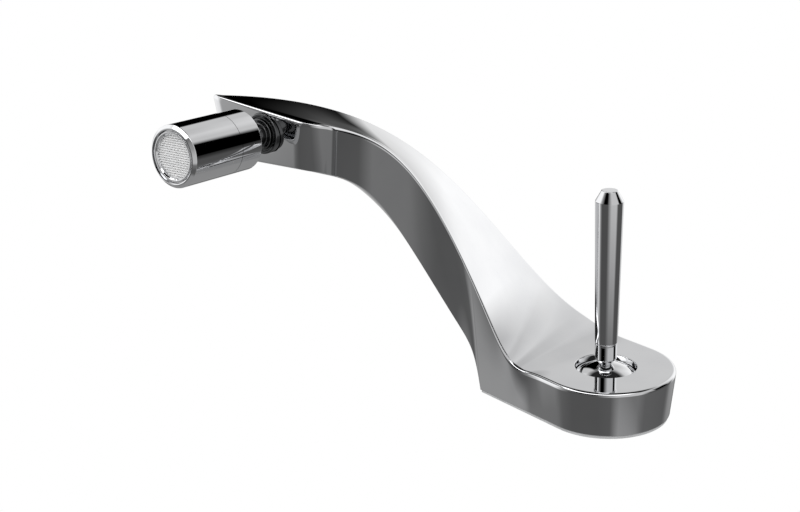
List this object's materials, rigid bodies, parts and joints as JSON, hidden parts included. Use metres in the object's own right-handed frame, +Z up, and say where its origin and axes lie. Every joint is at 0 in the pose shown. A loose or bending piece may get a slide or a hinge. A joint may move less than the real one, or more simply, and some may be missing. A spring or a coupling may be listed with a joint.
{
  "type": "bidet mixer",
  "caption": "Deck-mounted bidet mixer with a body that curls up from its base to a swivelling outlet, and a slim joystick lever.",
  "frame": {"origin": "on the axis of lever and shank, at the deck level where the sealing sheet under the base rests", "axes": "+Z up, -Y towards the user and the outlet, -X from the lever towards the arm"},
  "size_m": [0.1468, 0.1882, 0.191],
  "materials": {
    "chrome": "polished",
    "brass": "machined",
    "steel": "satin",
    "rubber": "matte",
    "seal_grey": "matte",
    "cartridge_plastic": "moulded",
    "carrier_plastic": "moulded",
    "ceramic": "lapped"
  },
  "bodies": {
    "base": {"body": "chrome", "base_gasket": "seal_grey", "shank": "brass", "rubber_washer": "rubber", "clamp_washer": "steel", "shank_nut": "brass", "inlet_block": "brass", "port_seals": "rubber", "cartridge_base": "cartridge_plastic", "cartridge_housing": "cartridge_plastic", "fixed_disc": "ceramic", "cartridge_nut": "brass", "dish_seal": "rubber", "ball_stem": "chrome", "stem_seal": "rubber"},
    "turner": {"turn_carrier": "carrier_plastic", "tilt_pin": "steel"},
    "lever": {"spindle": "steel", "dome_cap": "chrome", "lever_collar": "chrome", "lever_rod": "chrome"},
    "disc": {"moving_disc": "ceramic", "disc_driver": "carrier_plastic"},
    "swing": {"ball_liner": "carrier_plastic"},
    "nod": {"ball_gasket": "rubber"},
    "outlet": {"swivel_nut": "chrome", "swivel_sleeve": "chrome", "aerator_washer": "rubber", "aerator_insert": "cartridge_plastic", "mesh_screen": "steel", "aerator_ring": "chrome"}
  },
  "joints": [
    {"name": "lever_turn", "type": "hinge", "parent": "base", "child": "turner", "pos_m": [0, 0, 0], "axis": [0, 0, 1], "range_deg": [-50, 50]},
    {"name": "lever_tilt", "type": "hinge", "parent": "turner", "child": "lever", "pos_m": [0, 0, 0], "axis": [1, 0, 0], "range_deg": [0, 15]},
    {"name": "disc_slide", "type": "slide", "parent": "turner", "child": "disc", "axis": [0, 1, 0], "range_m": [0, 0.0032]},
    {"name": "outlet_swing", "type": "hinge", "parent": "base", "child": "swing", "pos_m": [-0.07976, -0.12613, 0.12406], "axis": [0, 0, 1], "range_deg": [-18, 18]},
    {"name": "outlet_nod", "type": "hinge", "parent": "swing", "child": "nod", "pos_m": [-0.07976, -0.12613, 0.12406], "axis": [0.9659, 0.2588, 0], "range_deg": [-18, 18]},
    {"name": "outlet_spin", "type": "hinge", "parent": "nod", "child": "outlet", "pos_m": [-0.07976, -0.12613, 0.12406], "axis": [0.2587, -0.9655, 0.0297], "continuous": true}
  ],
  "couplings": [
    {"joint": "disc_slide", "follows": "lever_tilt", "m_per_rad": 0.0119}
  ]
}
